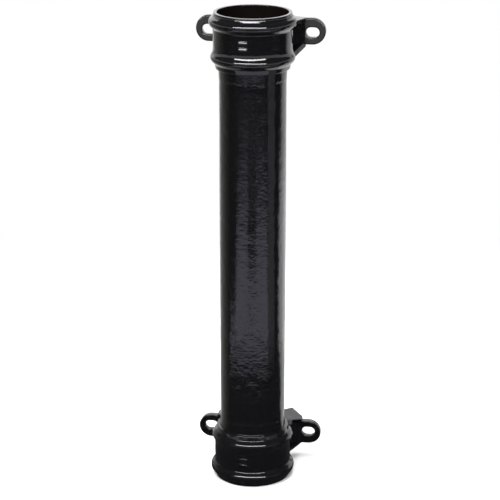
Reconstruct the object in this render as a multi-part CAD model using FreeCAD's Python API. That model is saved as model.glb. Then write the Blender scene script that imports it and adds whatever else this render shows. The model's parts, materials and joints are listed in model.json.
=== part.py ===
import FreeCAD, Part
import math
import os
from FreeCAD import Vector

# Cast iron rainwater downpipe: a 75 mm bore barrel with a moulded, eared socket at each end.
# Millimetres. The pipe stands on its lower rim, +Z up its axis, and the ears look to the wall at +Y.

# Barrel
pipe_length = 610.0
bore_radius = 37.5
barrel_wall = 4.0

# Socket, measured down from its rim
spigot_gap = 2.5
socket_depth = 62.0
seat_height = 7.0
socket_wall = 4.8
lip_wall = 4.1
lip_chamfer = 1.2

# Bead at the mouth, round above and with a straight slope under it
mouth_bead_depth = 11.8
mouth_bead_stand = 5.1
mouth_bead_section = 7.2
bead_slope = 45.0

# Ogee bead at the shoulder, above the socket's seat
shoulder_bead_rise = 6.7
shoulder_bead_stand = 3.2
shoulder_bead_section = 6.5
shoulder_bead_cove = 16.0

# Collar where the socket ends on the barrel
collar_run = 7.0
collar_stand = 4.8
collar_chamfer = 1.0

# Ears
slot_pitch = 131.0
slot_depth = 35.5
slot_length = 17.0
slot_height = 12.5
wall_distance = 66.0
lug_thickness = 8.0
lug_radius = 16.4
lug_lift = 1.3
lug_land = 9.0
lug_chamfer = 1.4

# Arm of each ear: a slanting web with a rib along its top and a brace along its bottom, open front and back
web_angle = 50.0
web_thickness = 6.5
rib_angle = 68.0
rib_back = 9.0
rib_thickness = 4.2
rib_rise = 4.0
brace_thickness = 6.0
brace_angle = 41.0
brace_step = 3.3

barrel_radius = bore_radius + barrel_wall
socket_bore_radius = barrel_radius + spigot_gap
body_radius = socket_bore_radius + socket_wall
lip_radius = socket_bore_radius + lip_wall
collar_radius = barrel_radius + collar_stand
slot_x = slot_pitch / 2
slot_z = pipe_length - slot_depth
lug_z = slot_z + lug_lift
lug_front = wall_distance - lug_thickness
lug_end_x = slot_x + lug_radius
arm_x = slot_x - lug_land
collar_end = socket_depth + collar_run


def bead(wall_radius, stand, depth, section):
    """Round bead on a wall: its centre's distance from the axis and depth, its section's radius."""
    return wall_radius + stand - section, depth, section


def crown(round_bead):
    """Outermost point of a bead."""
    return round_bead[0] + round_bead[2], round_bead[1]


def foot(round_bead, wall_radius, way):
    """Point where a bead meets a plain wall, above it (-1) or below it (1)."""
    centre_r, centre_u, section = round_bead
    return wall_radius, centre_u + way * math.sqrt(section ** 2 - (wall_radius - centre_r) ** 2)


def cove(round_bead, wall_radius, cove_radius, way):
    """Hollow arc from a bead to a wall: where it leaves the bead, its middle, where it meets the wall."""
    centre_r, centre_u, section = round_bead
    hollow_r = wall_radius + cove_radius
    reach = section + cove_radius
    hollow_u = centre_u + way * math.sqrt(reach ** 2 - (hollow_r - centre_r) ** 2)
    share = section / reach
    on_bead = (centre_r + (hollow_r - centre_r) * share, centre_u + (hollow_u - centre_u) * share)
    on_wall = (wall_radius, hollow_u)
    middle = ((on_bead[0] + on_wall[0]) / 2 - hollow_r, (on_bead[1] + on_wall[1]) / 2 - hollow_u)
    stretch = cove_radius / math.hypot(*middle)
    return on_bead, (hollow_r + middle[0] * stretch, hollow_u + middle[1] * stretch), on_wall


def underside(round_bead, wall_radius):
    """Straight slope under a bead: where it leaves the bead and where it meets the wall."""
    centre_r, centre_u, section = round_bead
    turn = math.radians(bead_slope)
    on_bead = (centre_r + section * math.cos(turn), centre_u + section * math.sin(turn))
    return on_bead, (wall_radius, on_bead[1] + (on_bead[0] - wall_radius) / math.tan(turn))


def socket_outline():
    """Outside of a socket from rim to barrel: a first point, then arcs (two points) and lines (one)."""
    shoulder_bead_depth = socket_depth - shoulder_bead_rise
    mouth = bead(body_radius, mouth_bead_stand, mouth_bead_depth, mouth_bead_section)
    shoulder = bead(body_radius, shoulder_bead_stand, shoulder_bead_depth, shoulder_bead_section)
    under_mouth = underside(mouth, body_radius)
    above_shoulder = cove(shoulder, body_radius, shoulder_bead_cove, -1)
    under_shoulder = underside(shoulder, collar_radius)
    return [
        [(lip_radius - lip_chamfer, 0)],
        [(lip_radius, lip_chamfer)],
        [foot(mouth, lip_radius, -1)],
        [crown(mouth), under_mouth[0]],
        [under_mouth[1]],
        [above_shoulder[2]],
        [above_shoulder[1], above_shoulder[0]],
        [crown(shoulder), under_shoulder[0]],
        [under_shoulder[1]],
        [(collar_radius, collar_end - collar_chamfer)],
        [(collar_radius - collar_chamfer, collar_end)],
        [(barrel_radius, collar_end)],
    ]


def outline_edges(steps, height):
    """Edges of an outline whose points are (distance from the axis, depth), with depth turned to height."""
    edges = []
    last = steps[0][-1]
    for step in steps[1:]:
        points = [Vector(r, 0, height(u)) for r, u in [last] + step]
        if len(points) == 3:
            edges.append(Part.Arc(*points).toShape())
        else:
            edges.append(Part.LineSegment(*points).toShape())
        last = step[-1]
    return edges


def from_top(depth):
    return pipe_length - depth


def from_bottom(depth):
    return depth


def turned(edges):
    """Solid turned about the pipe's axis from a closed outline."""
    wire = Part.Wire(Part.__sortEdges__(edges))
    return Part.Face(wire).revolve(Vector(0, 0, 0), Vector(0, 0, 1), 360)


def outside():
    outline = socket_outline()
    edges = outline_edges(outline, from_top) + outline_edges(outline, from_bottom)
    rim = outline[0][-1]
    end = outline[-1][-1]
    edges += outline_edges([[end], [(end[0], pipe_length - end[1])]], from_bottom)
    edges += outline_edges([[rim], [(0, 0)], [(0, pipe_length)], [(rim[0], pipe_length)]], from_bottom)
    return turned(edges)


def waterway():
    seat = socket_depth + seat_height
    return turned(outline_edges([
        [(0, 0)],
        [(socket_bore_radius, 0)],
        [(socket_bore_radius, socket_depth)],
        [(bore_radius, seat)],
        [(bore_radius, pipe_length - seat)],
        [(socket_bore_radius, pipe_length - socket_depth)],
        [(socket_bore_radius, pipe_length)],
        [(0, pipe_length)],
        [(0, 0)],
    ], from_bottom))


def plan_prism(points, low, high):
    """Upright prism on a plan outline of (x, y) points."""
    corners = [Vector(x, y, low) for x, y in points]
    return Part.Face(Part.makePolygon(corners + corners[:1])).extrude(Vector(0, 0, high - low))


def side_prism(points, front, back):
    """Prism running to the wall, on an outline of (x, height) points."""
    corners = [Vector(x, front, z) for x, z in points]
    return Part.Face(Part.makePolygon(corners + corners[:1])).extrude(Vector(0, back - front, 0))


def pill(x, z, length, height, front, back):
    """Prism with a round-ended outline, running to the wall."""
    half = height / 2
    run = length / 2 - half
    ends = [(x - run, z + half), (x + run, z + half), (x + run, z - half), (x - run, z - half)]
    corners = [Vector(px, front, pz) for px, pz in ends]
    edges = [
        Part.LineSegment(corners[0], corners[1]).toShape(),
        Part.Arc(corners[1], Vector(x + run + half, front, z), corners[2]).toShape(),
        Part.LineSegment(corners[2], corners[3]).toShape(),
        Part.Arc(corners[3], Vector(x - run - half, front, z), corners[0]).toShape(),
    ]
    return Part.Face(Part.Wire(edges)).extrude(Vector(0, back - front, 0))


def web_line(offset, y):
    """Plan point at depth y on a line along the web's front face, set back by the offset."""
    turn = math.radians(web_angle)
    return arm_x - offset / math.sin(turn) + (y - lug_front) / math.tan(turn), y


def rib_line(y):
    """Plan point at depth y on the front edge of the rib and the brace."""
    return arm_x + (y - lug_front) / math.tan(math.radians(rib_angle)), y


def arm_top(x):
    """Height of the arm's top, which rises from the lug to the socket."""
    return lug_z + lug_radius + (arm_x - x) * math.tan(math.radians(rib_rise))


def arm_bottom(x):
    """Height of the brace's underside, which falls from a step under the lug to the socket."""
    return lug_z - lug_radius - brace_step + (x - arm_x) * math.tan(math.radians(brace_angle))


def lug():
    """Round-ended lug of the upper ear at +X, with its front edge chamfered."""
    top = lug_z + lug_radius
    bottom = lug_z - lug_radius
    outline = [(slot_x, bottom), (arm_x, bottom), (arm_x, top), (slot_x, top)]
    corners = [Vector(x, lug_front, z) for x, z in outline]
    edges = [Part.LineSegment(a, b).toShape() for a, b in zip(corners, corners[1:])]
    edges.append(Part.Arc(corners[-1], Vector(lug_end_x, lug_front, lug_z), corners[0]).toShape())
    block = Part.Face(Part.Wire(edges)).extrude(Vector(0, lug_thickness, 0))
    front = block.Faces[-2] if block.Faces[-2].CenterOfMass.y < lug_front + 0.01 else block.Faces[-1]
    outer = [edge for edge in front.Edges if edge.BoundBox.XMax > slot_x - 0.01]
    return block.makeChamfer(lug_chamfer, outer)


def between(low, high, x_range):
    """Prism running to the wall, between two sloping lines that give a height at each x."""
    near, far = x_range
    outline = [(near, low(near)), (far, low(far)), (far, high(far)), (near, high(near))]
    return side_prism(outline, 0, wall_distance)


def arm():
    """Arm of the upper ear at +X: web, rib and brace from the lug into the socket, down to its collar."""
    back = web_thickness + rib_back
    inner_x = web_line(back, 0)[0]
    lowest = pipe_length - collar_end
    highest = arm_top(inner_x)
    reach = (inner_x, arm_x)
    brace_rise = brace_thickness / math.cos(math.radians(brace_angle))
    back_edge = [web_line(back, 0), web_line(back, wall_distance)]
    web_back = [web_line(web_thickness, wall_distance), web_line(web_thickness, 0)]
    outline = [(arm_x, lug_front), rib_line(0)] + back_edge + [(arm_x, wall_distance)]
    in_front = [(arm_x, lug_front), web_line(0, 0), rib_line(0), (arm_x, 0)]
    behind = back_edge + web_back
    whole = plan_prism(outline, lowest, highest).common(between(arm_bottom, arm_top, reach))
    hollow = between(lambda x: arm_bottom(x) + brace_rise, lambda x: arm_top(x) - rib_thickness, reach)
    recesses = [plan_prism(plan, lowest, highest).common(hollow) for plan in (in_front, behind)]
    return whole.cut(recesses)


def slot(x, z):
    return pill(x, z, slot_length, slot_height, 0, wall_distance + 1)


def downpipe():
    pieces = [lug(), arm()]
    pieces += [one.mirror(Vector(0, 0, 0), Vector(1, 0, 0)) for one in pieces]
    middle = Vector(0, 0, pipe_length / 2)
    pieces += [one.mirror(middle, Vector(0, 0, 1)) for one in pieces]
    casting = outside().fuse(pieces).cut(waterway())
    holes = [slot(x, z) for x in (-slot_x, slot_x) for z in (slot_depth, slot_z)]
    return casting.cut(holes).removeSplitter()


os.makedirs("parts", exist_ok=True)
downpipe().exportStep("parts/downpipe.step")
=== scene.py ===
# %% [markdown]
# # A cast iron downpipe in gloss black paint
# The pipe is one casting: a round barrel with a moulded, eared socket at each end. The imported CAD model
# fixes its sizes, so the first step loads that model and keeps its box, which gives the pipe's length.

# %% Load the frame
import json
import math

import bmesh
import bpy
from mathutils import Matrix, Vector, noise


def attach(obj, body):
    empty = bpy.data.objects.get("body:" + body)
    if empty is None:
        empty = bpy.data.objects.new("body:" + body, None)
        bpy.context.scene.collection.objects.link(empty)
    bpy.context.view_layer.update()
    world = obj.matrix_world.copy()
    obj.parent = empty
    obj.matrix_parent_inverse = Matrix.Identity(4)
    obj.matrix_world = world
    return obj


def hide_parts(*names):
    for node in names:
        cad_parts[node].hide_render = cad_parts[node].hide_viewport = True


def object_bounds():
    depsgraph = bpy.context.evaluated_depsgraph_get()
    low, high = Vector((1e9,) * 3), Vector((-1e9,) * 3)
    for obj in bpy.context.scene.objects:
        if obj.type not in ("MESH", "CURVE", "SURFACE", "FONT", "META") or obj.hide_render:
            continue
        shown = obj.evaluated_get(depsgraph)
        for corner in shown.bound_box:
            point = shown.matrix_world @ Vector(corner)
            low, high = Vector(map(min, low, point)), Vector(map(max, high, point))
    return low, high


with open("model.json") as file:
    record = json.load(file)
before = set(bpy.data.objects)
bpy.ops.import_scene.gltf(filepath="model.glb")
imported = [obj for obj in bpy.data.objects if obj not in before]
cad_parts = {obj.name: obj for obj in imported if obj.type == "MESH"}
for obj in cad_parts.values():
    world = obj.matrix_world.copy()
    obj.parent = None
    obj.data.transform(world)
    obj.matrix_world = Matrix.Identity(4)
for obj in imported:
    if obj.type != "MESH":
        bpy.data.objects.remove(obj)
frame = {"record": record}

scene = bpy.context.scene
cad_low, cad_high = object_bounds()
print("CAD box in mm:", [round(1000 * side, 1) for side in cad_high - cad_low])

# %% [markdown]
# ## Sizes
# The record's mounts give the sizes that other parts have to fit: the sockets, the slots and the wall plane.
# The mouldings and the ears repeat the casting's own sizes. Everything is in metres, and depths go down from
# the rim. Two places closer than TINY count as the same.

# %% Sizes from the frame and of the mouldings
MM = 0.001
TINY = 1e-6
mounts = {mount["name"]: mount for mount in frame["record"]["mounts"]}
pipe_length = cad_high.z
mid_height = pipe_length / 2
socket_bore = mounts["top_socket"]["dims"]["r_mm"] * MM
socket_depth = mounts["top_socket"]["dims"]["length_mm"] * MM
spigot_gap = 2.5 * MM
barrel_wall = 4.0 * MM
socket_wall = 4.8 * MM
lip_wall = 4.1 * MM
collar_stand = 4.8 * MM
collar_run = 7.0 * MM
barrel_radius = socket_bore - spigot_gap
bore_radius = barrel_radius - barrel_wall
body_radius = socket_bore + socket_wall
lip_radius = socket_bore + lip_wall
collar_radius = barrel_radius + collar_stand
collar_end = socket_depth + collar_run
print(f"barrel {2000 * barrel_radius:.1f} mm, socket body {2000 * body_radius:.1f} mm across")

# %% [markdown]
# ## Drawing the wall's outline
# A turned piece starts as its outline on one side of the axis. Two operators draw it: extruding the last
# vertex makes a straight run, and spinning it about a centre makes a true arc, so no curve has to be worked
# out point by point. A positive angle turns the pen from the axis outwards and then down.

# %% Pen for the outline
outline = bmesh.new()
arc_step = 7.5
fewest_steps = 4


def verts_of(parts):
    """Vertices among the parts that an operator made."""
    return [part for part in parts if isinstance(part, bmesh.types.BMVert)]


def once(parts):
    """Parts in their order, each of them once, so that every run goes through them alike."""
    return list(dict.fromkeys(parts))


def run_to(bm, tip, place):
    """Straight run from an outline's last vertex."""
    end = bmesh.ops.extrude_vert_indiv(bm, verts=[tip])["verts"][0]
    end.co = place
    return end


def line_to(tip, radius, depth):
    """Straight run of the wall's outline."""
    return run_to(outline, tip, (radius, 0, pipe_length - depth))


def arc_about(tip, radius, depth, degrees):
    """Arc of the wall's outline about a centre, in steps of at most 7.5 degrees."""
    steps = max(fewest_steps, math.ceil(abs(degrees) / arc_step))
    made = bmesh.ops.spin(outline, geom=[tip], cent=(radius, 0, pipe_length - depth), axis=(0, 1, 0),
                          angle=math.radians(degrees), steps=steps)
    return verts_of(made["geom_last"])[0]


# %% [markdown]
# ## Lip and bore
# The pen starts half way down the bore, goes up over the sloping seat and the socket's inside to the rim, and
# turns over the lip. Thick paint and the sand mould leave no sharp edge there, so both edges of the rim are
# rounded.

# %% Inside of the wall and the rim
inner_lip_round = 0.35 * MM
outer_lip_round = 0.6 * MM
tip = outline.verts.new((bore_radius, 0, mid_height))
tip = line_to(tip, bore_radius, collar_end)
tip = line_to(tip, socket_bore, socket_depth)
tip = line_to(tip, socket_bore, inner_lip_round)
tip = arc_about(tip, socket_bore + inner_lip_round, inner_lip_round, 90)
tip = line_to(tip, lip_radius - outer_lip_round, 0)
tip = arc_about(tip, lip_radius - outer_lip_round, outer_lip_round, 90)
print("vertices up to the lip:", len(outline.verts))

# %% [markdown]
# ## Beads
# Both beads are round above and have a straight slope of 45 degrees under them. A hollow arc blends the bead
# into the wall above it: a tight one under the lip, whose wall flares out a little there, and a long one at
# the shoulder, where it makes the ogee of the old mouldings. A small foot rounds the end of the slope.

# %% Outline of a bead
bead_slope = 45


def bead(tip, lean, hollow, centre, section, wall_below, taper, foot):
    """Hollow arc on a wall that leans out, round bead and slope, down to a wall that may taper."""
    turn = math.radians(lean)
    along = Vector((math.sin(turn), math.cos(turn)))
    out = Vector((math.cos(turn), -math.sin(turn)))
    reach = section + hollow
    start = Vector((tip.co.x, pipe_length - tip.co.z)) + out * hollow - centre
    run = -start.dot(along) - math.sqrt(start.dot(along) ** 2 - start.length_squared + reach ** 2)
    from_bead = start + along * run
    sweep = math.degrees(math.acos(from_bead.dot(out) / reach))
    on_wall = centre + from_bead - out * hollow
    tip = line_to(tip, *on_wall)
    tip = arc_about(tip, *(centre + from_bead), -sweep)
    tip = arc_about(tip, *centre, lean + sweep + bead_slope)
    slope_end = Vector((wall_below, centre.x + centre.y + section * math.sqrt(2) - wall_below))
    down_slope = Vector((-1, 1)).normalized()
    off_slope = Vector((1, 1)).normalized()
    bend = bead_slope - taper
    on_slope = slope_end - down_slope * foot * math.tan(math.radians(bend / 2))
    tip = line_to(tip, *on_slope)
    return arc_about(tip, *(on_slope + off_slope * foot), -bend)


# %% Beads of the socket
mouth_section = 7.2 * MM
mouth_stand = 5.1 * MM
mouth_depth = 11.8 * MM
mouth_centre = Vector((body_radius + mouth_stand - mouth_section, mouth_depth))
shoulder_section = 6.5 * MM
shoulder_stand = 3.2 * MM
shoulder_depth = 55.3 * MM
shoulder_centre = Vector((body_radius + shoulder_stand - shoulder_section, shoulder_depth))
lip_flare = 20
flare_round = 2.0 * MM
collar_taper = 11
collar_top = collar_radius + 0.6 * MM
tip = line_to(tip, lip_radius, flare_round)
tip = arc_about(tip, lip_radius + flare_round, flare_round, -lip_flare)
tip = bead(tip, lean=lip_flare, hollow=0.6 * MM, centre=mouth_centre, section=mouth_section,
           wall_below=body_radius, taper=0, foot=3.0 * MM)
tip = bead(tip, lean=0, hollow=16.0 * MM, centre=shoulder_centre, section=shoulder_section,
           wall_below=collar_top, taper=collar_taper, foot=2.0 * MM)
print("vertices up to the collar:", len(outline.verts))

# %% [markdown]
# ## Collar and barrel
# The socket ends in a short tapered collar with a square step on to the barrel. Below the step the barrel is
# a little thicker, down to a faint edge that goes round it. The long straight runs get extra cuts, so that
# the unevenness of the casting has vertices to move later.

# %% Rest of the outline
collar_round = 1.1 * MM
collar_foot = 0.9 * MM
band_run = 13.0 * MM
band_top = barrel_radius + 0.85 * MM
band_low = barrel_radius + 0.25 * MM
band_edge = 0.8 * MM
taper = math.radians(collar_taper)
round_start = collar_end - collar_round * (1 - math.sin(taper))
round_radius = tip.co.x - (round_start - (pipe_length - tip.co.z)) * math.tan(taper)
round_centre = round_radius - collar_round * math.cos(taper)
tip = line_to(tip, round_radius, round_start)
tip = arc_about(tip, round_centre, collar_end - collar_round, 90 - collar_taper)
band_lean = math.atan((band_top - band_low) / band_run)
foot_radius = band_top + collar_foot * math.cos(band_lean)
tip = line_to(tip, foot_radius, collar_end)
tip = arc_about(tip, foot_radius, collar_end + collar_foot, math.degrees(band_lean) - 90)
tip = line_to(tip, band_low, collar_end + band_run)
tip = line_to(tip, barrel_radius, collar_end + band_run + band_edge)
tip = line_to(tip, barrel_radius, mid_height)
cut_length = 7.0 * MM
for edge in [edge for edge in outline.edges if edge.calc_length() > 2 * cut_length]:
    cuts = round(edge.calc_length() / cut_length)
    bmesh.ops.subdivide_edges(outline, edges=[edge], cuts=cuts)
print("vertices in the outline:", len(outline.verts))

# %% [markdown]
# ## Turning the wall
# A full spin with merging turns the outline into the upper half of the pipe, and a mirror about the middle
# adds the lower half, because both ends of this pipe have the same socket.

# %% Spin and mirror
around = 144
casting = outline
bmesh.ops.spin(casting, geom=casting.verts[:] + casting.edges[:], cent=(0, 0, 0), axis=(0, 0, 1),
               angle=math.tau, steps=around, use_merge=True)
middle = Matrix.Translation((0, 0, -mid_height))
bmesh.ops.mirror(casting, geom=casting.verts[:] + casting.edges[:] + casting.faces[:], matrix=middle,
                 merge_dist=TINY, axis="Z")
bmesh.ops.remove_doubles(casting, verts=casting.verts[:], dist=TINY)
bmesh.ops.recalc_face_normals(casting, faces=casting.faces[:])
print("faces of the wall:", len(casting.faces))
print("open edges:", sum(edge.is_boundary for edge in casting.edges))

# %% [markdown]
# ## Lug of an ear
# Each ear ends in a round-ended lug with a slot for the nail. Two circles are stretched into the lug's
# outline and the slot, bridged into a flat ring and extruded to the wall plane. The front leans back a
# little, as the draft that lets a casting leave its mould, and bevels round the edges that show. A cut beside
# the arm keeps what is joined there from bending the shading of the flat front.

# %% Sizes of the ears
slots = mounts["ear_slots"]
wall_y = slots["pos_m"][1]
slot_x = slots["dims"]["spacing_x_mm"] / 2 * MM
slot_z = slots["pos_m"][2] + slots["dims"]["spacing_y_mm"] / 2 * MM
slot_radius = slots["dims"]["hole_r_mm"] * MM
slot_run = slots["dims"]["slot_length_mm"] / 2 * MM - slot_radius
lug_radius = 16.4 * MM
lug_lift = 1.3 * MM
lug_thickness = 8.0 * MM
lug_land = 9.0 * MM
lug_lean = math.tan(math.radians(4.5))
lug_z = slot_z + lug_lift
lug_front = wall_y - lug_thickness
arm_x = slot_x - lug_land
print(f"slots {2000 * slot_x:.0f} mm apart, {1000 * slot_z:.1f} mm up")

# %% Lug with its slot
ears = bmesh.new()
ring_segments = 48
lug_overlap = 1.0 * MM


def ring_of_edges(radius, x, z):
    """Circle in the plane of the lug's front, with no vertex at the very top or bottom."""
    made = bmesh.ops.create_circle(ears, cap_ends=False, radius=radius, segments=ring_segments)
    half_step = math.radians(180 / ring_segments)
    turn = Matrix.Rotation(math.radians(90), 3, "X") @ Matrix.Rotation(half_step, 3, "Z")
    bmesh.ops.rotate(ears, verts=made["verts"], cent=(0, 0, 0), matrix=turn)
    bmesh.ops.translate(ears, verts=made["verts"], vec=(x, lug_front, z))
    return made["verts"]


lug_edge = ring_of_edges(lug_radius, slot_x, lug_z)
for vert in lug_edge:
    if vert.co.x < slot_x:
        vert.co.x = arm_x - lug_overlap
slot_edge = ring_of_edges(slot_radius, slot_x, slot_z)
for vert in slot_edge:
    vert.co.x += math.copysign(slot_run, vert.co.x - slot_x)
lug_faces = bmesh.ops.bridge_loops(ears, edges=ears.edges[:])["faces"]
raised = bmesh.ops.extrude_face_region(ears, geom=lug_faces)
bmesh.ops.translate(ears, verts=verts_of(raised["geom"]), vec=(0, wall_y - lug_front, 0))
for vert in lug_edge + slot_edge:
    vert.co.y += (vert.co.z - lug_z) * lug_lean
bmesh.ops.recalc_face_normals(ears, faces=ears.faces[:])
print("faces of a plain lug:", len(ears.faces))

# %% Rounded edges of the lug
rim_bend = 1.0
lug_cut = 1.5 * MM


def round_edges(edges, offset, segments, clamp=False):
    """Bevels edges of the ears into rounds."""
    return bmesh.ops.bevel(ears, geom=edges, offset=offset, offset_type="OFFSET", segments=segments,
                           profile=0.5, affect="EDGES", material=-1, clamp_overlap=clamp)


def rim_edges(at_back):
    """Edges round the lug and slot, at the front or the wall, but not the upright one inside the arm."""
    return [edge for edge in ears.edges if edge.calc_face_angle(0) > rim_bend
            and max(vert.co.x for vert in edge.verts) > arm_x
            and all((abs(vert.co.y - wall_y) < TINY) == at_back for vert in edge.verts)]


round_edges(rim_edges(False), offset=1.5 * MM, segments=4)
round_edges(rim_edges(True), offset=0.6 * MM, segments=2)
bmesh.ops.bisect_plane(ears, geom=ears.verts[:] + ears.edges[:] + ears.faces[:],
                       plane_co=(arm_x + lug_cut, 0, 0), plane_no=(1, 0, 0))
print("faces of a lug:", len(ears.faces))

# %% [markdown]
# ## Arm of an ear
# The arm that carries the lug is a slanting web with a rib along its top and a brace along its bottom, open
# in front and behind. The three are plates: a plan outline drawn with the same two moves as the wall's
# outline, extruded upwards, sloped and bevelled. A round in the plan blends each front edge into the socket,
# and the inner ends stop inside the socket's wall, so nothing shows in the bore.

# %% Lines of the arm in plan
web_turn = math.radians(50)
rib_turn = math.radians(68)
web_thickness = 6.5 * MM
arm_thickness = 15.5 * MM
web_inset = 0.3 * MM
root_radius = socket_bore + 1.6 * MM


def web_x(offset, y):
    """Plan place of a line along the web's front, set back by the offset."""
    return arm_x - offset / math.sin(web_turn) + (y - lug_front) / math.tan(web_turn)


def meets_circle(start, turn, radius):
    """Point where a plan line from a start, at this angle to the wall, meets a circle about the axis."""
    along = Vector((math.cos(turn), math.sin(turn)))
    ahead = start.dot(along)
    return start - along * (ahead - math.sqrt(ahead ** 2 - start.length_squared + radius ** 2))


back_corner = Vector((web_x(arm_thickness, wall_y), wall_y))
web_corner = Vector((web_x(web_thickness, wall_y), wall_y - web_inset))
back_root = meets_circle(back_corner, web_turn, root_radius)
print("back of the rib enters the socket at", [round(1000 * side, 1) for side in back_root])

# %% Heights of the arm
rib_slope = math.tan(math.radians(4))
brace_angle = math.radians(41)
brace_slope = math.tan(brace_angle)
brace_step = 3.3 * MM
rib_thickness = 4.2 * MM
brace_rise = 6.0 * MM / math.cos(brace_angle)
web_in_rib = 2.0 * MM
web_in_brace = 3.0 * MM


def arm_top(x):
    """Height of the arm's top, which rises from the lug to the socket."""
    return lug_z + lug_radius + (arm_x - x) * rib_slope


def arm_bottom(x):
    """Height of the brace's underside, which falls from a step under the lug to the collar's end."""
    return max(pipe_length - collar_end, lug_z - lug_radius - brace_step + (x - arm_x) * brace_slope)


def rib_bottom(x):
    return arm_top(x) - rib_thickness


def brace_top(x):
    return arm_bottom(x) + brace_rise


def web_top(x):
    return arm_top(x) - web_in_rib


def web_bottom(x):
    return arm_bottom(x) + web_in_brace


print(f"the arm is {1000 * (arm_top(arm_x) - arm_bottom(arm_x)):.1f} mm tall at the lug")

# %% Plates of the arm
into_lug = 0.4 * MM
behind_front = 0.5 * MM
plate_bend = math.radians(30)


def blend_into_socket(tip, turn, blend):
    """Runs from the lug's front corner along a plan line and rounds it into the socket's outside."""
    front = Vector((math.sin(turn), -math.cos(turn)))
    centre = meets_circle(Vector(tip.co[:2]) + front * blend, turn, body_radius + blend)
    tip = run_to(ears, tip, (*(centre - front * blend), 0))
    sweep = math.atan2(front.cross(centre.normalized()), front.dot(centre.normalized()))
    made = bmesh.ops.spin(ears, geom=[tip], cent=(*centre, 0), axis=(0, 0, 1), angle=sweep, steps=6)
    tip = verts_of(made["geom_last"])[0]
    return run_to(ears, tip, (*(centre.normalized() * root_radius), 0))


def plate(turn, blend, corner, low, high, edge_round):
    """Upright plate of the arm, between two heights that depend on x, with rounded edges."""
    known = set(ears.verts)
    first = ears.verts.new((arm_x, lug_front, 0))
    tip = blend_into_socket(first, turn, blend)
    root = meets_circle(corner, web_turn, root_radius)
    root_middle = (Vector(tip.co[:2]) + root).normalized() * root_radius
    lug_side = arm_x + into_lug
    for x, y in (root_middle, root, corner, (lug_side, corner.y), (lug_side, lug_front + behind_front)):
        tip = run_to(ears, tip, (x, y, 0))
    ears.edges.new((tip, first))
    lower = [vert for vert in ears.verts if vert not in known]
    edges = once(edge for vert in lower for edge in vert.link_edges)
    base = bmesh.ops.contextual_create(ears, geom=edges)["faces"]
    upper = verts_of(bmesh.ops.extrude_face_region(ears, geom=base)["geom"])
    for verts, level in ((lower, low), (upper, high)):
        for vert in verts:
            vert.co.z = level(vert.co.x)
            at_lug = vert.co.x > arm_x - 0.1 * MM
            at_front = vert.co.y < lug_front + 1.0 * MM
            if at_lug and at_front:
                vert.co.y += (vert.co.z - lug_z) * lug_lean
    faces = once(face for vert in lower + upper for face in vert.link_faces)
    bmesh.ops.recalc_face_normals(ears, faces=faces)
    edges = once(edge for face in faces for edge in face.edges if edge.calc_face_angle(0) > plate_bend)
    round_edges(edges, offset=edge_round, segments=3, clamp=True)


rib_blend = 4.0 * MM
web_blend = 20.0 * MM
plate(rib_turn, rib_blend, back_corner, low=rib_bottom, high=arm_top, edge_round=1.3 * MM)
plate(rib_turn, rib_blend, back_corner, low=arm_bottom, high=brace_top, edge_round=1.0 * MM)
plate(web_turn, web_blend, web_corner, low=web_bottom, high=web_top, edge_round=0.3 * MM)
print("faces of an ear:", len(ears.faces))

# %% [markdown]
# ## Raised bars
# The mould leaves two plain raised bars on the front of each socket, which catch the light. Each is a cube
# stretched into a bar, with its edges bevelled until the section is round, and then flattened, leaned back
# and set into the wall. The flat crown shows a longer glint than a round one would.

# %% Raised bars
bar_size = (11.0 * MM, 10.0 * MM, 4.2 * MM)
bar_round = 1.9 * MM
bar_flatness = 0.3
bar_lean = math.radians(-18)
bar_turn = math.radians(-5)
bar_sunk = 0.7 * MM


def bar(depth):
    """Raised bar on the front of the socket's wall, so far below the rim."""
    made = bmesh.ops.create_cube(ears, size=1)["verts"]
    bmesh.ops.scale(ears, verts=made, vec=bar_size)
    edges = once(edge for vert in made for edge in vert.link_edges)
    made = round_edges(edges, offset=bar_round, segments=5)["verts"]
    bmesh.ops.scale(ears, verts=made, vec=(1, bar_flatness, 1))
    bmesh.ops.rotate(ears, verts=made, cent=(0, 0, 0), matrix=Matrix.Rotation(bar_lean, 3, "X"))
    bmesh.ops.translate(ears, verts=made, vec=(0, bar_sunk - body_radius, pipe_length - depth))
    bmesh.ops.rotate(ears, verts=made, cent=(0, 0, 0), matrix=Matrix.Rotation(bar_turn, 3, "Z"))


bar(29.0 * MM)
bar(37.0 * MM)
on_bars = ears.verts.layers.float.new("bar")
for vert in ears.verts:
    vert[on_bars] = 1.0 if vert.co.y < 0 else 0.0
print("faces of an ear and the bars:", len(ears.faces))

# %% [markdown]
# ## Four ears
# A mirror makes the left ear from the right one, and a second mirror the lower pair from the upper one. The
# bars sit on the front and are only mirrored from end to end.

# %% Mirror the ears


def mirrored(source, axis, matrix):
    """Adds the mirror image of the faces in a list."""
    edges = once(edge for face in source for edge in face.edges)
    verts = once(vert for face in source for vert in face.verts)
    bmesh.ops.mirror(ears, geom=verts + edges + source, matrix=matrix, merge_dist=-1, axis=axis)


mirrored([face for face in ears.faces if face.calc_center_median().y > 0], "X", Matrix.Identity(4))
mirrored(ears.faces[:], "Z", middle)
bmesh.ops.recalc_face_normals(ears, faces=ears.faces[:])
print("faces of the ears and bars:", len(ears.faces))

# %% [markdown]
# ## One casting
# Wall, ears and bars are one casting on the real pipe. So far they are shells that run into each other, so a
# Boolean modifier unites them into one closed skin with nothing left inside the metal. First an attribute
# marks the part of the wall that faces the bore, because the paint is thin and dull there.

# %% Mark the inside
inward = -0.4
inside = casting.verts.layers.float.new("inside")
for vert in casting.verts:
    away = Vector((vert.co.x, vert.co.y, 0)).normalized()
    vert[inside] = 1.0 if vert.normal.dot(away) < inward else 0.0
print("vertices that face the bore:", sum(vert[inside] > 0 for vert in casting.verts))

# %% Unite the shells


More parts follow.
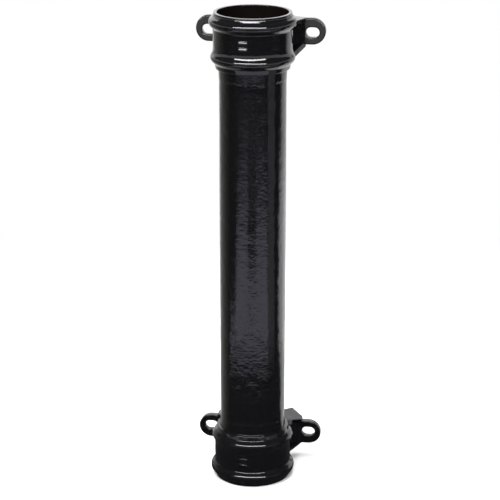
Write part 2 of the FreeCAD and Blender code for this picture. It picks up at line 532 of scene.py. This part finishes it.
def shell(name, bm):
    """Object with the shape of a bmesh."""
    made = bpy.data.objects.new(name, bpy.data.meshes.new(name))
    bm.to_mesh(made.data)
    scene.collection.objects.link(made)
    return made


wall_shell = shell("wall_shell", casting)
ear_shell = shell("ear_shell", ears)
union = wall_shell.modifiers.new("union", "BOOLEAN")
union.operation = "UNION"
union.solver = "EXACT"
union.use_self = True
union.object = ear_shell
united = wall_shell.evaluated_get(bpy.context.evaluated_depsgraph_get())
casting.clear()
casting.from_mesh(united.to_mesh())
for used in (wall_shell, ear_shell):
    bpy.data.meshes.remove(used.data)
bmesh.ops.dissolve_degenerate(casting, edges=casting.edges[:], dist=0.01 * MM)
print("faces of the casting:", len(casting.faces))
print("open edges:", sum(not edge.is_manifold for edge in casting.edges))

# %% [markdown]
# ## Unevenness of the casting
# Sand casting leaves the surface slightly wavy, and gloss paint shows it in every reflection. Two smooth
# noise fields, a slow one and a quick one, move all vertices sideways by about a tenth of a millimetre. The
# seed makes every run give the same waves.

# %% Wave the surface
wave_seed = 1
slow_length = 45 * MM
slow_height = 0.14 * MM
quick_length = 14 * MM
quick_height = 0.03 * MM
quick_start = Vector((7, 3, 5))
largest = 0.0
noise.seed_set(wave_seed)
for vert in casting.verts:
    slow = noise.noise_vector(vert.co / slow_length)
    quick = noise.noise_vector(vert.co / quick_length + quick_start)
    shift = slow_height * slow + quick_height * quick
    vert.co.x += shift.x
    vert.co.y += shift.y
    largest = max(largest, shift.xy.length)
casting.normal_update()
print(f"largest shift {1000 * largest:.2f} mm")

# %% [markdown]
# ## The piece
# The skin becomes one object that stands in for the CAD node. It is shaded smooth except at sharp edges, and
# a Weighted Normal modifier lets the large faces lead, so that flats stay flat beside their rounds.

# %% Make the piece
mesh = bpy.data.meshes.new("downpipe_casting")
casting.to_mesh(mesh)
casting.free()
ears.free()
mesh.shade_smooth()
mesh.set_sharp_from_angle(angle=math.radians(40))
pipe = bpy.data.objects.new("downpipe_casting", mesh)
scene.collection.objects.link(pipe)
even_shading = pipe.modifiers.new("even_shading", "WEIGHTED_NORMAL")
even_shading.keep_sharp = True
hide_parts("downpipe")
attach(pipe, "root")
mesh.calc_loop_triangles()
print("triangles of the piece:", len(mesh.loop_triangles))

# %% [markdown]
# ## Shader maths
# Node trees are easier to read as sums. This class holds one socket, turns Python's operators into Math
# nodes, and has one method that adds any other node. The rest are short names for nodes that come up often.

# %% Shade class


class Shade:
    """A socket of a node tree that can be reckoned with."""

    # Numbers of a Mix node's colour sockets
    first_colour, second_colour, mixed_colour = 6, 7, 2

    def __init__(self, tree, socket=None):
        self.tree = tree
        self.socket = socket

    def put(self, socket, value):
        """Links a shade to a socket, or sets the socket to a plain value."""
        if isinstance(value, Shade):
            self.tree.links.new(value.socket, socket)
        else:
            socket.default_value = value

    def add(self, kind, settings, sockets, output=0):
        """New node with its settings, then its sockets' values or links; gives the named output."""
        node = self.tree.nodes.new("ShaderNode" + kind)
        for name, value in settings.items():
            setattr(node, name, value)
        for name, value in sockets.items():
            self.put(node.inputs[name], value)
        return Shade(self.tree, node.outputs[output])

    def also(self, output):
        """Another output of the same node."""
        return Shade(self.tree, self.socket.node.outputs[output])

    def coordinates(self):
        """Object coordinates."""
        return self.add("TexCoord", {}, {}, "Object")

    def stretched(self, x, y, z):
        """Coordinates multiplied on each axis, so that a pattern on them is longer one way."""
        return self.add("VectorMath", {"operation": "MULTIPLY"}, {0: self, 1: (x, y, z)})

    def length(self):
        """Distance of coordinates from the origin."""
        return self.add("VectorMath", {"operation": "LENGTH"}, {0: self}, "Value")

    def cloud(self, scale, detail, roughness=0.5):
        """Noise on these coordinates."""
        return self.add("TexNoise", {}, {"Vector": self, "Scale": scale, "Detail": detail,
                                         "Roughness": roughness})

    def blend(self, first, second):
        """Colour between two, by this share."""
        return self.add("Mix", {"data_type": "RGBA"}, {0: self, self.first_colour: first,
                                                       self.second_colour: second}, self.mixed_colour)

    def fade(self, start, end):
        """Smooth step from one to nothing between two values."""
        return self.add("MapRange", {"interpolation_type": "SMOOTHSTEP"},
                        {"Value": self, "From Min": start, "From Max": end, "To Min": 1.0, "To Max": 0.0})

    def maths(self, operation, *values):
        """Math node with these inputs."""
        return self.add("Math", {"operation": operation}, dict(enumerate(values)))

    def __add__(self, other):
        return self.maths("ADD", self, other)

    def __sub__(self, other):
        return self.maths("SUBTRACT", self, other)

    def __rsub__(self, other):
        return self.maths("SUBTRACT", other, self)

    def __mul__(self, other):
        return self.maths("MULTIPLY", self, other)

    def __abs__(self):
        return self.maths("ABSOLUTE", self)

    __radd__ = __add__
    __rmul__ = __mul__


def new_material(name):
    """Material with nodes, and a shade to build its tree with."""
    material = bpy.data.materials.new(name)
    material.use_nodes = True
    return material, Shade(material.node_tree)


# %% [markdown]
# ## Gloss black paint
# The paint is close to black, so nearly all that shows is what it mirrors. What makes it look like paint on
# cast iron is how the mirror image breaks up: a fine grain from the sand, ripples that lie across the barrel,
# a sagged ridge under each collar and a few specks. All of it is height in metres for one Bump node.

# %% Paint height
paint, shade = new_material("gloss_black_paint")
place = shade.coordinates()
height_up = shade.add("SeparateXYZ", {}, {"Vector": place}, "Z")
from_middle = abs(height_up - mid_height)
collar_place = mid_height - collar_end
on_barrel = from_middle.fade(collar_place - 35 * MM, collar_place)
on_bar = shade.add("Attribute", {"attribute_name": "bar"}, {}, "Fac")

grain_height = 0.012 * MM
wave_height = 0.3 * MM
grain = place.cloud(420.0, 3.0, 0.55)
waves = place.cloud(75.0, 2.0)
ripple = place.stretched(0.5, 0.5, 1.0).cloud(360.0, 3.0)
ripple_height = on_barrel * waves * (0.5 * MM) + 0.01 * MM
unevenness = grain * grain_height + waves * wave_height + ripple * ripple_height
print("nodes for the unevenness:", len(paint.node_tree.nodes))

# %% Sagged ridge and specks
sag_height = 0.16 * MM
sag_width = 1.1 * MM
sag_wander = 12 * MM
speck_height = 0.05 * MM
sag_place = collar_place - band_run
wander = place.stretched(1, 1, 0.2).cloud(110.0, 5.0, 0.65)
broken = place.cloud(170.0, 2.0)
from_sag = abs(from_middle - sag_place + (wander - 0.5) * sag_wander)
sag = from_sag.fade(0.0, sag_width) * broken.fade(0.46, 0.58)
cells = shade.add("TexVoronoi", {}, {"Vector": place, "Scale": 120.0}, "Distance")
specks = cells.fade(0.0, 0.10) * waves.fade(0.40, 0.55) * on_barrel
paint_height = unevenness * (1 - on_bar) + sag * sag_height + specks * speck_height
print("nodes for the paint's height:", len(paint.node_tree.nodes))

# %% [markdown]
# The colour stays near black everywhere. Inside the pipe it turns to a dull brown-black film, and a little
# dust dulls the gloss in slow patches. A Bevel node rounds the normal in the corners, where thick paint runs
# together.

# %% Paint colour and gloss
black = (0.0020, 0.0019, 0.0023, 1)
dark_film = (0.0012, 0.0010, 0.0010, 1)
brown_film = (0.0050, 0.0034, 0.0028, 1)
in_pipe = shade.add("Attribute", {"attribute_name": "inside"}, {}, "Fac")
dust = place.cloud(22.0, 4.0)
soft_edges = shade.add("Bevel", {"samples": 6}, {"Radius": 1.2 * MM}, "Normal")
bump = shade.add("Bump", {}, {"Strength": 1.0, "Distance": 1.0, "Height": paint_height, "Normal": soft_edges})
surface = paint.node_tree.nodes["Principled BSDF"]
shade.put(surface.inputs["Base Color"], in_pipe.blend(black, dust.blend(dark_film, brown_film)))
shade.put(surface.inputs["Roughness"], dust * 0.07 + in_pipe * 0.10 + 0.04)
shade.put(surface.inputs["Normal"], bump)
surface.inputs["IOR"].default_value = 1.52
pipe.data.materials.append(paint)
print("nodes of the paint:", len(paint.node_tree.nodes))

# %% [markdown]
# ## Floor and backdrop
# A wide white dish, a floor with a low wall bent up all round, gives the plain white ground. It is an outline
# of three vertices with a bevelled corner, spun once. Near the pipe it is plain paper that takes the shadow.
# Further off it turns into an even white for the eye and for reflections, so no horizon shows.

# %% White dish
dish_radius = 6.0
dish_height = 1.8
dish_corners = ((0, 0, 0), (dish_radius, 0, 0), (dish_radius, 0, dish_height))
dish = bmesh.new()
corners = [dish.verts.new(corner) for corner in dish_corners]
for pair in zip(corners, corners[1:]):
    dish.edges.new(pair)
bmesh.ops.bevel(dish, geom=[corners[1]], offset=0.6, offset_type="OFFSET", segments=8, profile=0.5,
                affect="VERTICES", material=-1)
bmesh.ops.spin(dish, geom=dish.verts[:] + dish.edges[:], cent=(0, 0, 0), axis=(0, 0, 1), angle=math.tau,
               steps=64, use_merge=True)
bmesh.ops.remove_doubles(dish, verts=dish.verts[:], dist=0.01 * MM)
bmesh.ops.recalc_face_normals(dish, faces=dish.faces[:])
print("faces of the dish:", len(dish.faces))

# %% White paper


def staged(name, bm, material):
    """Makes a stage object of a bmesh, with one material."""
    skin = bpy.data.meshes.new(name)
    bm.to_mesh(skin)
    bm.free()
    skin.shade_smooth()
    skin.materials.append(material)
    made = bpy.data.objects.new(name, skin)
    scene.collection.objects.link(made)
    return made


paper, sheet = new_material("white_paper")
far = 1 - sheet.coordinates().length().fade(0.5, 1.1)
ray = sheet.add("LightPath", {}, {}, "Is Camera Ray")
seen = ray + ray.also("Is Glossy Ray") + ray.also("Is Transmission Ray")
plain = sheet.add("BsdfDiffuse", {}, {"Color": (0.9, 0.9, 0.9, 1)})
even = sheet.add("Emission", {}, {"Color": (1, 1, 1, 1), "Strength": 1.0})
ground = sheet.add("MixShader", {}, {0: far * seen, 1: plain, 2: even})
sheet.put(paper.node_tree.nodes["Material Output"].inputs["Surface"], ground)
staged("white_dish", dish, paper)
print("nodes of the paper:", len(paper.node_tree.nodes))

# %% [markdown]
# ## Cards
# Gloss black looks black only when it mirrors something dark. Studios lay and stand grey cards round such a
# piece, out of the picture. Each card here is a sector of the floor or an upright, one spin of an edge,
# shaded from one tone to another, and only reflections see it. Bright cards behind on both sides give the
# light edges of the barrel, a hazy strip low in front gives the grey sheen under the collar, and a high white
# card at the back lights the rims and the tops of the ears.

# %% One card
azimuth = math.radians(9.4)
card_step = 5


def card(name, start, end, inner, outer):
    """Card between two sides (angle from the camera's side, tone) and two ends (reach, height)."""
    (from_angle, from_tone), (to_angle, to_tone) = start, end
    from_turn = azimuth + math.radians(from_angle)
    to_turn = azimuth + math.radians(to_angle)
    bm = bmesh.new()
    ends = [bm.verts.new((0, -reach, height)) for reach, height in (inner, outer)]
    edge = bm.edges.new(ends)
    bmesh.ops.rotate(bm, verts=ends, cent=(0, 0, 0), matrix=Matrix.Rotation(from_turn, 3, "Z"))
    bmesh.ops.spin(bm, geom=ends + [edge], cent=(0, 0, 0), axis=(0, 0, 1), angle=to_turn - from_turn,
                   steps=max(2, round((to_angle - from_angle) / card_step)))
    grey, tint = new_material(name)
    across = tint.add("SeparateXYZ", {}, {"Vector": tint.coordinates()}, "X")
    turn = tint.maths("ARCTAN2", across, 0 - across.also("Y"))
    share = tint.add("MapRange", {}, {"Value": turn, "From Min": from_turn, "From Max": to_turn})
    tone = share.blend((*from_tone, 1), (*to_tone, 1))
    glow = tint.add("Emission", {}, {"Color": tone, "Strength": 1.0})
    tint.put(grey.node_tree.nodes["Material Output"].inputs["Surface"], glow)
    made = staged(name, bm, grey)
    made.visible_camera = False
    made.visible_diffuse = False
    made.visible_shadow = False
    return glow


def ring(name, stops, inner, outer):
    """Cards side by side, from one stop (angle, tone) to the next."""
    for number, (start, end) in enumerate(zip(stops, stops[1:])):
        card(f"{name}_{number}", start, end, inner, outer)


def neutral(tone):
    """Grey without a tint."""
    return tone, tone, tone


# %% Ends, sides and tones of the cards
under = (0.045, 0.0005)
foot = (0.15, 0.0005)
near = (0.47, 0.002)
far_end = (1.45, 0.002)
haze_low = (1.45, 0.04)
haze_high = (1.45, 0.08)
far_low = (1.45, 0.25)
far_mid = (1.45, 0.38)
far_top = (1.45, 0.52)
sky_low = (5.5, 0.9)
sky_high = (5.5, 4.2)
olive_side, left_side, right_side, grey_side = -84, -62, 54, 80
dark = (0.055, 0.055, 0.06)
olive = (0.055, 0.054, 0.042)
dim = (0.06, 0.06, 0.08)
haze = (0.80, 0.79, 0.92)
bright = (1.60, 1.60, 1.62)
left_stops = [(-166, neutral(1.1)), (-152, (0.95, 0.95, 0.94)), (-144, (0.53, 0.53, 0.51)),
              (-118, (0.33, 0.33, 0.31)), (-100, (0.16, 0.16, 0.14)), (olive_side, olive), (left_side, olive)]
right_floor = [(grey_side, dark), (98, dark), (108, bright), (140, bright), (166, neutral(0.80))]
right_wall = [(grey_side, dark), (108, dark), (120, neutral(1.1)), (146, neutral(1.1)), (166, neutral(0.80))]
middle_grey = [(right_side, (0.42, 0.40, 0.44)), (grey_side, (0.36, 0.34, 0.38))]
haze_stops = [(left_side, dim), (-22, haze), (14, haze), (right_side, dim)]
sky_stops = [(138, neutral(0.12)), (160, neutral(1.7)), (200, neutral(1.7)), (222, neutral(0.12))]
print("cards stand from", under[0], "to", sky_low[0], "metres off the axis")

# %% Cards round the pipe
ring("foot_card", [(0, dark), (360, dark)], under, foot)
ring("near_card", [(left_side, dark), (grey_side, dark)], foot, near)
ring("left_card", left_stops, foot, far_end)
ring("left_curtain", left_stops, far_end, far_top)
ring("right_near_card", right_wall, foot, near)
ring("right_card", right_floor, near, far_end)
ring("right_curtain", right_wall, far_end, far_top)
ring("grey_card", middle_grey, near, far_end)
ring("grey_curtain", middle_grey, far_end, far_low)
ring("grey_top", [(right_side, dark), (grey_side, dark)], far_low, far_mid)
ring("front_foot", [(left_side, dim), (right_side, dim)], far_end, haze_low)
ring("haze_card", haze_stops, haze_low, haze_high)
ring("front_curtain", [(left_side, dim), (right_side, dim)], haze_high, far_mid)
ring("back_card", [(168, dark), (192, dark)], foot, far_end)
ring("back_sky", sky_stops, sky_low, sky_high)

# %% [markdown]
# The card in front is pale near the pipe and breaks up into patches further off. The barrel mirrors it as the
# slate patch half way up, which gets darker and more broken towards the socket, most of all in its middle.

# %% Mottled card in front
pale = (1.05, 1.03, 1.25)
pale_near = (0.47, 0.004)
pale_far = (0.62, 0.004)
ring("pale_side", [(olive_side, pale), (left_side, pale)], pale_near, pale_far)
glow = card("pale_card", (left_side, dark), (right_side, dark), near, far_end)
spot = glow.coordinates()
reach = spot.length()
to_side = (math.cos(azimuth), math.sin(azimuth), 0)
sideways = glow.add("VectorMath", {"operation": "DOT_PRODUCT"}, {0: spot, 1: to_side}, "Value")
aside = glow.maths("DIVIDE", sideways, reach)
mottle = spot.stretched(1.1, 8.0, 1.0).cloud(1.0, 3.0) + (1.25 - reach) * 0.45
in_middle = abs(aside + 0.03).fade(0.10, 0.34) * (1 - reach.fade(0.72, 1.0))
at_sides = 1 - abs(aside).fade(0.66, 0.95)
dark_share = (mottle - in_middle * 0.22 - at_sides * 0.25).fade(0.47, 0.53)
glow.put(glow.socket.node.inputs["Color"], dark_share.blend((*pale, 1), (*dark, 1)))
print("nodes of the mottled card:", len(glow.tree.nodes))

# %% [markdown]
# ## Light
# One wide, low soft box stands in front, above the pipe's height: it draws the bright lines along the beads.
# A second one overhead only lights the floor and is kept out of the reflections. The world is a low, even
# fill.

# %% Soft boxes and world
fill_colour = (0.96, 0.97, 1.0, 1)
fill_strength = 0.12


def soft_box(name, stand, aim, width, height, watts):
    """Rectangular area light at a place, turned to a point."""
    lamp = bpy.data.lights.new(name, "AREA")
    lamp.shape = "RECTANGLE"
    lamp.size = width
    lamp.size_y = height
    lamp.energy = watts
    box = bpy.data.objects.new(name, lamp)
    box.location = stand
    box.rotation_euler = (Vector(aim) - Vector(stand)).to_track_quat("-Z", "Y").to_euler()
    scene.collection.objects.link(box)
    return box


soft_box("front_box", stand=(0.05, -1.6, 1.33), aim=(0, 0, 0.58), width=3.2, height=0.32, watts=75)
overhead = soft_box("overhead_box", stand=(-0.3, -0.2, 2.4), aim=(0, 0, 0), width=1.6, height=1.6,
                    watts=110)
overhead.visible_glossy = False
world = bpy.data.worlds.new("studio")
world.use_nodes = True
background = world.node_tree.nodes["Background"]
background.inputs["Color"].default_value = fill_colour
background.inputs["Strength"].default_value = fill_strength
scene.world = world
scene.view_settings.view_transform = "Standard"
print("soft boxes:", len(bpy.data.lights))

# %% [markdown]
# ## Camera
# The photograph looks a little down on the rim and from a little to the right. The camera keeps those two
# angles at the upper rim and stands far enough back to take in the whole pipe.

# %% Camera
elevation = math.radians(11.0)
distance = 2.2
lens = 130.0
aim = Vector((-3.4 * MM, 0, 0.306))
rim = Vector((0, 0, pipe_length))
towards = Vector((math.sin(azimuth) * math.cos(elevation), -math.cos(azimuth) * math.cos(elevation),
                  math.sin(elevation)))
camera_data = bpy.data.cameras.new("camera")
camera_data.lens = lens
camera = bpy.data.objects.new("camera", camera_data)
camera.location = rim + distance * towards
camera.rotation_euler = (aim - camera.location).to_track_quat("-Z", "Y").to_euler()
scene.collection.objects.link(camera)
scene.camera = camera
print("camera stands at", [round(side, 2) for side in camera.location])
